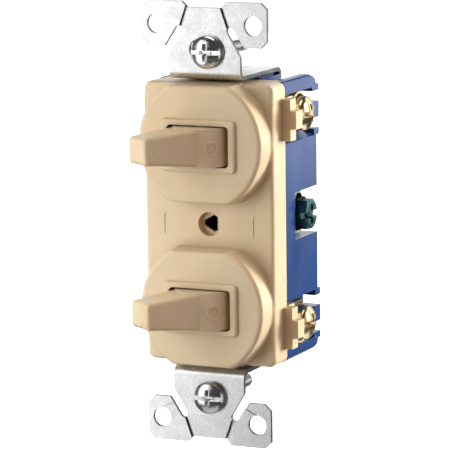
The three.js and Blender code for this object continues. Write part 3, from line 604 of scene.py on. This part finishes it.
def make_cover():
    hollow = box(
        (-(COVER_HALF_W - WALL), COVER_FRONT + ROOF, -(COVER_HALF_H - WALL)),
        (COVER_HALF_W - WALL, COVER_BACK + 1, COVER_HALF_H - WALL),
    )
    tools = [hollow]
    for s in SIDES:
        cz = s * SWITCH_Z
        tools.append(prism(rounded(0, cz, *OPENING), "y", -8, 0))
        tools.append(box((-9.5, -4.2, cz - 5.4), (9.5, 3, cz + 5.4)))
        tools.append(box((-1.8, TOGGLE_Y - 1.75, cz - 5.95), (1.8, 3, cz + 5.95)))
    shape = cut(cover_outside(), tools)
    added = [prism(circle(0, 0, 4.8), "y", 2.2, 6.6)]
    for s in SIDES:
        low, high = span(s, COVER_HALF_H - WALL, COVER_HALF_H)
        added.append(box((-APRON_HALF_W, COVER_BACK - 1, low), (APRON_HALF_W, APRON_BACK, high)))
        added.append(prism(circle(0, s * RIVET_Z, 2.8), "y", 2.2, 7.4))
        added += [terminal_guard(sx, s) for sx in SIDES]
    shape = join([shape, *added])
    corners = [math.radians(corner + turn) for corner in (180, 300, 60) for turn in (-CATCH_SPAN, CATCH_SPAN)]
    catch = [(CATCH_CORNER_R * math.cos(a), CATCH_CORNER_R * math.sin(a)) for a in corners]
    drills = [
        prism(circle(0, 0, CATCH_BORE_R), "y", -1, CATCH_FLOOR),
        prism(catch, "y", 1, 4),
        prism(circle(0, 0, 3.75, 6), "y", 2.9, 7),
    ]
    for s in SIDES:
        drills.append(prism(circle(0, s * RIVET_Z, RIVET_SHANK_R + 0.2), "y", 3.2, 8))
    hairline = [(-0.14, -4.1), (0.14, -4.1), (0.14, 0.4), (0.5, 0.75), (0.32, 0.95), (-0.14, 0.5)]
    for sx in SIDES:
        outline = [(sx * 11.6 + x, z + 1.4) for x, z in hairline]
        drills.append(prism(outline, "y", COVER_FRONT - 0.5, COVER_FRONT + 0.14))
    soften(cut(shape, drills), 0.22, 3)
    finish_piece(shape, "cover", IVORY, "switch_frame", "ivory_plastic", "front_cover")


# ---------------------------------------------------------------- rear body
def make_body():
    side = [
        (BODY_FRONT, -BODY_HALF_H),
        (BODY_FRONT, BODY_HALF_H),
        *arc(BODY_BACK - 3, BODY_HALF_H - 3, 3, 90, 0),
        *arc(BODY_BACK - 3, -(BODY_HALF_H - 3), 3, 0, -90),
    ]
    back_run = STRAP_BACK_Y - STRAP_T - GAP
    apron_seat = COVER_HALF_H - WALL - GAP
    posts = []
    tools = [
        box((-9.6, back_run, -40), (9.6, 40, 40)),
        box((SIDE_FLOOR_X, GROUND_FRONT, GROUND_Z - GROUND_HALF), (20, 40, GROUND_Z + GROUND_HALF)),
        box((9, back_run - 0.1, GROUND_Z - GROUND_HALF), (14, 40, GROUND_Z + GROUND_HALF)),
        prism(circle(GROUND_Y, GROUND_Z, 2.5), "x", 11.2, 14),
        box((-(SIDE_FLOOR_X + 1.8), 6, -20.9), (-SIDE_FLOOR_X, 14.3, 20.9)),
        box((-20, 6, -4), (-SIDE_FLOOR_X, 14.3, 4)),
    ]
    for s in SIDES:
        cz = s * SWITCH_Z
        low, high = span(s, apron_seat, 36)
        tools.append(box((-APRON_HALF_W - GAP, 6, low), (APRON_HALF_W + GAP, APRON_BACK + GAP, high)))
        tools.append(box((-WELL[0], 6, cz - WELL[1]), (WELL[0], WELL[2], cz + WELL[1])))
        tools.append(box((-SIDE_FLOOR_X - 0.5, 6, cz - 2.8), (-WELL[0] + 1, 13.3, cz + 2.8)))
        tools.append(prism(circle(0, s * RIVET_Z, RIVET_SHANK_R + 0.25), "y", 6, 24))
        for sx in SIDES:
            recess = [(SIDE_FLOOR_X, 20.6), (17.3, 18.7), (17.3, 30.65), (SIDE_FLOOR_X, 30.65)]
            tools.append(prism([(sx * x, s * z) for x, z in recess], "y", 6, 40))
            tools.append(prism(circle(TERMINAL_Y, s * TERMINAL_Z, 2.5), "x", *span(sx, 11.2, 14)))
            groove_x, groove_z = span(sx, 9.6, 13.9), span(s, 31.0, 36)
            tools.append(box((groove_x[0], 6, groove_z[0]), (groove_x[1], 40, groove_z[1])))
            for z0, z1, y0 in POSTS:
                xs, zs = span(sx, 12.4, 16.6), span(s, z0, z1)
                posts.append(box((xs[0], y0, zs[0]), (xs[1], POST_BACK, zs[1])))
    rounding = prism(rounded(0, 0, 16.8, BODY_HALF_H, BODY_EDGE_R, 10), "y", BODY_FRONT - 1, BODY_BACK + 1)
    block = combine(prism(side, "x", -16.8, 16.8), [rounding], "INTERSECT")
    block = join([block, box((-8.8, BODY_FRONT, -CORE_TOP), (8.8, 19, CORE_TOP))])
    shape = join([cut(block, tools), *posts])
    soften(shape, 0.22, 3)
    finish_piece(shape, "body", BLUE, "switch_frame", "blue_plastic", "rear_body")


# ---------------------------------------------------------------- toggles
def toggle_shape():
    """Toggle about its own axis, local Z, with the lever along -Y."""
    def ring(half, half_z, r, dist):
        return [(x, -dist, z) for x, z in rounded(0, 0, half, half_z, r, 6)]

    tip = ((1.3, 17.8), (0.85, 17.75), (0.45, 17.58), (0.18, 17.3), (0.02, 16.9))
    half_w, half_z = LEVER_TIP
    lever = skin([
        *[ring(half_w - i, half_z - i, max(0.3, 0.9 - i * 0.4), dist) for i, dist in tip],
        ring(half_w + LEVER_TAPER[0] * 0.35, half_z + LEVER_TAPER[1] * 0.35, 0.8, 12.0),
        ring(half_w + LEVER_TAPER[0] * 0.7, half_z + LEVER_TAPER[1] * 0.7, 0.7, 7.3),
        ring(*LEVER_ROOT, 0.6, 3.0),
    ])
    drum = prism(circle(0, 0, DRUM_R, 120), "z", -TOGGLE_HALF_Z, TOGGLE_HALF_Z)
    skirts = []
    for sx in SIDES:
        rim = [(sx * x, y) for x, y in arc(0, 0, SKIRT[0], SKIRT[1] - 90, SKIRT[2] - 90)]
        skirts.append(prism([(0, 0), *rim], "z", -TOGGLE_HALF_Z, TOGGLE_HALF_Z))
    trunnion = prism(circle(0, 0, 1.5), "z", -5.7, 5.7)
    leg = prism(circle(0, 0, LEG_R), "y", 0, LEG_LENGTH)
    bore = prism(circle(0, 0, LEG_BORE_R), "y", 1.0, 9.0)
    return cut(join([drum, lever, *skirts, trunnion, leg]), [bore])


def drum_mark(kind, angle):
    """Raised ring or bar that follows the drum's round face, turned from the lever by the angle."""
    raised = DRUM_R + 0.25
    if kind == "ring":
        mark = cut(prism(circle(0, 0, 1.9, 48), "y", -raised - 1, -DRUM_R + 0.8),
                   [prism(circle(0, 0, 1.2, 48), "y", -raised - 2, -DRUM_R + 2)])
    else:
        mark = prism(rounded(0, 0, 0.38, 1.8, 0.25, 4), "y", -raised - 1, -DRUM_R + 0.8)
    moved(mark, Matrix.Rotation(math.radians(angle), 4, "Z"))
    return combine(mark, [prism(circle(0, 0, raised, 120), "z", -TOGGLE_HALF_Z, TOGGLE_HALF_Z)], "INTERSECT")


def make_toggles():
    for name, s in (("upper", 1), ("lower", -1)):
        shape = join([toggle_shape(), drum_mark("ring", 78), drum_mark("bar", -78)])
        soften(shape, 0.2, 3)
        tilt = Matrix.Rotation(math.radians(-TILT), 4, "Z")
        moved(shape, Matrix.Translation((0, TOGGLE_Y, s * SWITCH_Z)) @ tilt)
        finish_piece(shape, f"{name}_lever", IVORY, f"{name}_toggle_body", "ivory_plastic", f"{name}_toggle")


# ---------------------------------------------------------------- screws
def threaded_shank(r, length, depth, pitch, top=0.3):
    """Helical thread along Z from -length up to just inside the head."""
    sides, verts, faces = 36, [], []
    per_turn = 8
    rows = max(8, int((length + top) / pitch * per_turn))
    for k in range(rows + 1):
        z = -length + (length + top) * k / rows
        lead_in = min(1.0, (z + length) / (2.2 * depth) * 0.5 + 0.35)
        for i in range(sides):
            a = 2 * math.pi * i / sides
            phase = (z / pitch - i / sides) % 1.0
            crest = 1 - abs(2 * phase - 1)
            radius = (r - depth * (1 - min(1, crest * 1.35))) * lead_in if z < 0 else r - depth
            verts.append((radius * math.cos(a), radius * math.sin(a), z))
    for k in range(rows):
        for i in range(sides):
            a, b = k * sides + i, k * sides + (i + 1) % sides
            faces.append((a, b, b + sides, a + sides))
    faces.append(tuple(range(sides)))
    faces.append(tuple(range(rows * sides, (rows + 1) * sides)))
    return outward(mesh_object(verts, faces))


def drive_recess(r, crown, depth, width=0.6):
    """Straight slot along local X and a tapered cross recess."""
    def cross(arm, half, z):
        points = [(arm, -half), (arm, half), (half, half), (half, arm), (-half, arm), (-half, half)]
        points += [(-arm, half), (-arm, -half), (-half, -half), (-half, -arm), (half, -arm), (half, -half)]
        return [(x, y, z) for x, y in points]

    slot = skin([
        [(x, y, z) for x, y in ((-r - 1, -w), (r + 1, -w), (r + 1, w), (-r - 1, w))]
        for w, z in ((width * 0.88, crown - depth), (width * 1.05, crown + 0.5))
    ])
    star = skin([
        cross(r * 0.26, width * 0.55, crown - depth * 1.7),
        cross(r * 0.5, width * 0.8, crown - depth * 0.6),
        cross(r * 0.66, width * 1.0, crown + 0.5),
    ])
    return [slot, star]


def pan_head(r, t):
    rim = t * 0.42
    profile = [(0, 0), (r - 0.15, 0), (r, 0.15), (r, rim)]
    steps = 12
    for i in range(1, steps + 1):
        a = math.radians(90 * i / steps)
        radius = 0 if i == steps else r * (1 - 0.5 * math.sin(a) ** 2.4) * math.cos(a) ** 0.42
        profile.append((radius, rim + (t - rim) * math.sin(a)))
    return lathe(profile)


def pan_screw(r, t, shank_r, length, slot_width=0.6):
    head = cut(pan_head(r, t), drive_recess(r, t, t * 0.4, slot_width))
    soften(head, 0.1, 2, 32)
    return join([head, threaded_shank(shank_r, length, 0.32, THREAD_PITCH)])


def hex_screw():
    r, t = GROUND_HEAD_R, GROUND_HEAD_T
    head = prism(circle(0, 0, r, 6), "z", 0, t)
    crown = lathe([
        (0, -0.5), (r + 0.3, -0.5), (r + 0.3, t - 0.75), (r - 0.1, t - 0.45), (r - 0.6, t - 0.12), (3.0, t), (0, t)
    ])
    head = combine(head, [crown], "INTERSECT")
    cut(head, drive_recess(r, t, 1.35, 0.8))
    soften(head, 0.12, 2, 24)
    return join([head, threaded_shank(SHANK_R, 4.2, 0.32, THREAD_PITCH)])


def clamp_shape(lug):
    flat = math.sqrt(CLAMP_CORNER ** 2 - CLAMP_HALF ** 2)
    h = CLAMP_HALF
    outline = [(h, -flat), (h, flat), (flat, h), (-flat, h), (-h, flat), (-h, -flat), (-flat, -h), (flat, -h)]
    plate = prism(outline, "z", 0, CLAMP_T)
    if lug:
        plate = join([plate, prism([(3.6, -0.9), (5.0, 0), (3.6, 0.9)], "z", 0, CLAMP_T)])
    tools = [prism(circle(0, 0, SHANK_R + 0.15), "z", -1, 3)]
    for i in range(-3, 4):
        if lug:
            break
        tools.append(prism([(i * 1.1 - 0.2, -0.2), (i * 1.1 + 0.2, -0.2), (i * 1.1, 0.18)], "y", -5, 5))
    shape = cut(plate, tools)
    return soften(shape, 0.12, 2)


def make_terminal_screws():
    for name, s in (("upper", 1), ("lower", -1)):
        for side, sx in (("load", 1), ("line", -1)):
            q = f"{name}_{side}"
            place = along((sx * CLAMP_X, TERMINAL_Y, s * TERMINAL_Z), (0, 1, 0), (sx, 0, 0))
            clamp = moved(clamp_shape(False), place)
            finish_piece(clamp, f"{q}_clamp", BRASS, f"{q}_clamp", "brass", f"{q}_clamp_plate")
            seat = CLAMP_X + CLAMP_T + FIT
            screw = pan_screw(HEAD_R, HEAD_T, SHANK_R, SHANK_L, 0.62)
            moved(screw, along((sx * seat, TERMINAL_Y, s * TERMINAL_Z), (0, 1, 0), (sx, 0, 0)))
            finish_piece(screw, f"{q}_screw_head", BRASS, f"{q}_screw", "brass", f"{q}_terminal_screw")


def make_ground():
    place = along((GROUND_CLAMP_X, GROUND_Y, GROUND_Z), (0, 0, 1), (1, 0, 0))
    finish_piece(moved(clamp_shape(True), place), "ground_clamp_piece", BLACK, "ground_clamp", "black_plate",
                 "ground_clamp_plate")
    seat = GROUND_CLAMP_X + CLAMP_T + FIT
    screw = moved(hex_screw(), along((seat, GROUND_Y, GROUND_Z), (0, 1, 0), (1, 0, 0)))
    finish_piece(screw, "ground_screw_piece", GREEN, "ground_screw_body", "green_screw", "ground_screw")


def make_mounting_screws():
    for name, (x, z) in MOUNT_SCREWS.items():
        screw = pan_screw(MOUNT_HEAD_R, MOUNT_HEAD_T, MOUNT_SHANK_R, MOUNT_LENGTH, 0.56)
        moved(screw, along((x, -STRAP_T - FIT, z), (1, 0, 0), (0, -1, 0)))
        finish_piece(screw, f"{name}_mount_screw", STEEL, f"{name}_mounting_screw_body", "bright_steel",
                     f"{name}_mounting_screw")
        card = cut(prism(rounded(x, z, 4.4, 3.7, 0.8), "y", FIT, FIT + 0.7),
                   [prism(circle(x, z, MOUNT_SHANK_R + 0.15), "y", -1, 3)])
        soften(card, 0.08, 2)
        finish_piece(card, f"{name}_retainer", CARD, "switch_frame", "card", f"{name}_screw_retainer")


# ---------------------------------------------------------------- inner metal and small parts
def screw_plate(sx, s):
    (x0, x1), (z0, z1) = span(sx, PLATE_IN_X, PLATE_OUT_X), span(s, PLATE_LOW_Z, PLATE_HIGH_Z)
    return box((x0, 9.0, z0), (x1, 23.0, z1))


def screw_hole(sx, s):
    return prism(circle(TERMINAL_Y, s * TERMINAL_Z, SHANK_R + 0.15), "x", *span(sx, 12, 16))


def make_load_terminals():
    for name, s in (("upper", 1), ("lower", -1)):
        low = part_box(f"{name}_load_terminal")[0]
        hook_front = low.y / MM
        hook_x = low.x / MM
        hook_back = hook_front + 1.0
        (hz0, hz1), (w0, w1), (z0, z1) = (
            span(s, SWITCH_Z - 2.3, SWITCH_Z + 2.6),
            span(s, SWITCH_Z - 2.3, PLATE_HIGH_Z),
            span(s, PLATE_LOW_Z, PLATE_HIGH_Z),
        )
        shape = join([
            box((hook_x, hook_front, hz0), (PLATE_OUT_X, hook_back, hz1)),
            box((PLATE_IN_X, hook_front, w0), (PLATE_OUT_X, 7.3, w1)),
            box((PLATE_IN_X, 7.0, z0), (PLATE_OUT_X, 12, z1)),
            screw_plate(1, s),
        ])
        soften(cut(shape, [screw_hole(1, s)]), 0.1, 2)
        finish_piece(shape, f"{name}_load_plate", BRASS, "switch_frame", "brass", f"{name}_load_terminal")


def make_line_bar():
    parts = [
        box((-PLATE_OUT_X, 9.2, -22), (-PLATE_IN_X, 13.9, -1.8)),
        box((-PLATE_OUT_X, 9.2, 1.8), (-PLATE_IN_X, 13.9, 22)),
        box((-PLATE_OUT_X, 10.4, -2.5), (-PLATE_IN_X, 12.6, 2.5)),
        box((-16.3, 10.4, -1.3), (-PLATE_IN_X, 12.6, 1.3)),
    ]
    top = ROCKER_Y + 0.15
    for s in SIDES:
        cz = s * SWITCH_Z
        parts.append(screw_plate(-1, s))
        parts.append(box((-PLATE_OUT_X, 12.0, cz - 2.4), (1.6, 13.0, cz + 2.4)))
        parts.append(prism([(-1.2, 12.5), (1.2, 12.5), (0.35, top), (-0.35, top)], "z", cz - 2.4, cz + 2.4))
    shape = cut(join(parts), [screw_hole(-1, 1), screw_hole(-1, -1)])
    soften(shape, 0.1, 2)
    finish_piece(shape, "line_bar", BRASS, "switch_frame", "brass", "line_terminal_bar")


def make_small_parts():
    body = cut(prism(circle(0, 0, 3.4, 6), "y", 3.1, 6.3), [prism(circle(0, 0, 1.5), "y", 2, 8)])
    soften(body, 0.12, 2)
    finish_piece(body, "insert", BLACK, "switch_frame", "black_plate", "wallplate_screw_insert")
    seat = STRAP_BACK_Y + FIT
    shank_end = -(seat - 3.6)
    for name, s in (("upper", 1), ("lower", -1)):
        profile = [(0, shank_end), (RIVET_SHANK_R, shank_end), (RIVET_SHANK_R, 0), (RIVET_HEAD_R - 0.1, 0)]
        profile += [(RIVET_HEAD_R, 0.12), (RIVET_HEAD_R * 0.97, 0.4), (RIVET_HEAD_R * 0.85, 0.7)]
        profile += [(RIVET_HEAD_R * 0.62, 0.95), (RIVET_HEAD_R * 0.42, 1.07), (RIVET_HEAD_R * 0.36, 1.1)]
        profile += [(RIVET_HEAD_R * 0.3, 0.95), (RIVET_HEAD_R * 0.16, 0.7), (0, 0.62)]
        rivet = moved(lathe(profile, 48), along((0, seat, s * RIVET_Z), (1, 0, 0), (0, 1, 0)))
        finish_piece(rivet, f"{name}_rivet", STEEL, "switch_frame", "bright_steel", f"{name}_assembly_rivet")


make_strap()
make_cover()
make_body()
make_toggles()
make_terminal_screws()
make_ground()
make_mounting_screws()
make_load_terminals()
make_line_bar()
make_small_parts()

# sealed inner pieces keep their CAD solids
KEPT = {
    "toggle_spring": STEEL,
    "plunger": NYLON,
    "rocker_arm": BRASS,
    "moving_contact": SILVER,
    "fixed_contact": SILVER,
}
for name in ("upper", "lower"):
    for ending, look in KEPT.items():
        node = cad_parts[f"{name}_{ending}"]
        node.data.materials.clear()
        node.data.materials.append(look)


# ---------------------------------------------------------------- floor, light and camera
FLOOR_Z = -0.062
FLOOR_HALF = 3.0
KEY_TURN = -9
FILL_DIFFUSE = (0.12, (1.0, 0.80, 0.74, 1))
FILL_GLOSSY = (0.05, (1, 1, 1, 1))
BACKDROP = (1.0, (1, 1, 1, 1))
CAMERA_AZIMUTH, CAMERA_ELEVATION, CAMERA_ROLL = 24.833, 9.441, -0.746
CAMERA_DISTANCE, CAMERA_AIM_X, CAMERA_AIM_Z = 0.72441, 0.00391, -0.000185
CAMERA_LENS = 244.35


def make_floor():
    corners = ((-1, -1), (1, -1), (1, 1), (-1, 1))
    floor = mesh_object([(x * FLOOR_HALF, y * FLOOR_HALF, FLOOR_Z) for x, y in corners], [(0, 1, 2, 3)], "floor")
    look = Look("pale_floor", Emission_Color=(1, 1, 1, 1), Emission_Strength=1.0)
    dust = look.noise(9, 4)
    tone = look.blend(look.ranged(dust, 0.3, 0.7), (0.93, 0.93, 0.93), (0.95, 0.95, 0.95))
    floor.data.materials.append(look.finish(tone, look.ranged(dust, 0.3, 0.7, 0.7, 0.85)))
    floor.visible_diffuse = False
    floor.visible_glossy = False
    floor.visible_shadow = False


def area_light(name, azimuth, elevation, distance, width, height, power, color=(1, 1, 1), turn=0,
               glossy=True, diffuse=True):
    """Lamp aimed at the middle of the part.

    One that isn't glossy lights surfaces without being mirrored in them.
    One that isn't diffuse is only mirrored.
    """
    a, e = math.radians(azimuth), math.radians(elevation)
    back = Vector((math.sin(a) * math.cos(e), -math.cos(a) * math.cos(e), math.sin(e)))
    data = bpy.data.lights.new(name, "AREA")
    data.shape = "RECTANGLE"
    data.size, data.size_y = width, height
    data.energy = power
    data.color = color
    lamp = bpy.data.objects.new(name, data)
    lamp.location = back * distance
    lamp.rotation_mode = "QUATERNION"
    lamp.rotation_quaternion = (-back).to_track_quat("-Z", "Y") @ Quaternion((0, 0, 1), math.radians(turn))
    lamp.visible_camera = False
    lamp.visible_glossy = glossy
    lamp.visible_diffuse = diffuse
    bpy.context.scene.collection.objects.link(lamp)


def make_lights():
    world = bpy.data.worlds.new("studio")
    world.use_nodes = True
    bpy.context.scene.world = world
    tree = world.node_tree
    tree.nodes.clear()
    shades = []
    for strength, color in (FILL_DIFFUSE, FILL_GLOSSY, BACKDROP):
        shade = tree.nodes.new("ShaderNodeBackground")
        shade.inputs["Strength"].default_value = strength
        shade.inputs["Color"].default_value = color
        shades.append(shade.outputs[0])
    path = tree.nodes.new("ShaderNodeLightPath")
    result = shades[0]
    for ray, shade in (("Is Glossy Ray", shades[1]), ("Is Camera Ray", shades[2])):
        mix = tree.nodes.new("ShaderNodeMixShader")
        tree.links.new(path.outputs[ray], mix.inputs[0])
        tree.links.new(result, mix.inputs[1])
        tree.links.new(shade, mix.inputs[2])
        result = mix.outputs[0]
    out = tree.nodes.new("ShaderNodeOutputWorld")
    tree.links.new(result, out.inputs["Surface"])
    area_light("key", -37, 0, 0.4, 0.2, 0.5, 0.62, turn=KEY_TURN)
    area_light("key_wash", -58, 2, 0.15, 0.15, 0.22, 0.235, glossy=False)
    area_light("low_back", 170, -60, 0.7, 1.0, 0.6, 2.0, diffuse=False)
    area_light("side", 118, 12, 0.9, 0.35, 0.6, 2.0)
    area_light("side_wash", 136, 5, 0.9, 0.35, 0.4, 12, glossy=False)
    area_light("rim", 155, 16, 1.0, 0.6, 0.9, 2.2)
    area_light("back_left", -152, 14, 1.0, 0.7, 0.7, 1.7)
    area_light("top", -10, 80, 1.1, 0.8, 0.8, 3.6)
    area_light("warm", 72, 5, 1.2, 1.0, 1.0, 3.6, (1.0, 0.74, 0.68), glossy=False)
    area_light("right_glint", 64, -8, 1.2, 1.2, 1.0, 2.1, diffuse=False)
    area_light("floor_glint", -18, -60, 1.2, 1.2, 0.9, 1.7, diffuse=False)
    area_light("back_glint", 194, -14, 1.2, 0.5, 0.8, 0.85, diffuse=False)
    area_light("right_side_glint", 91, -6, 1.2, 0.5, 0.7, 0.3, diffuse=False)
    area_light("left_side_glint", -91, -6, 1.2, 0.5, 0.7, 0.75, diffuse=False)


def make_camera():
    azimuth, elevation, roll = (math.radians(a) for a in (CAMERA_AZIMUTH, CAMERA_ELEVATION, CAMERA_ROLL))
    back = Vector((
        math.sin(azimuth) * math.cos(elevation), -math.cos(azimuth) * math.cos(elevation), math.sin(elevation)
    ))
    right = Vector((math.cos(azimuth), math.sin(azimuth), 0))
    up = right.cross(-back)
    x_axis = right * math.cos(roll) + up * math.sin(roll)
    y_axis = up * math.cos(roll) - right * math.sin(roll)
    camera = bpy.data.cameras.new("camera")
    camera.lens = CAMERA_LENS
    camera.sensor_width = 36
    camera.clip_start, camera.clip_end = 0.05, 50
    obj = bpy.data.objects.new("camera", camera)
    matrix = Matrix((x_axis, y_axis, back)).transposed().to_4x4()
    matrix.translation = back * CAMERA_DISTANCE + right * CAMERA_AIM_X + Vector((0, 0, CAMERA_AIM_Z))
    obj.matrix_world = matrix
    bpy.context.scene.collection.objects.link(obj)
    bpy.context.scene.camera = obj


make_floor()
make_lights()
make_camera()
bpy.context.scene.view_settings.view_transform = "Standard"
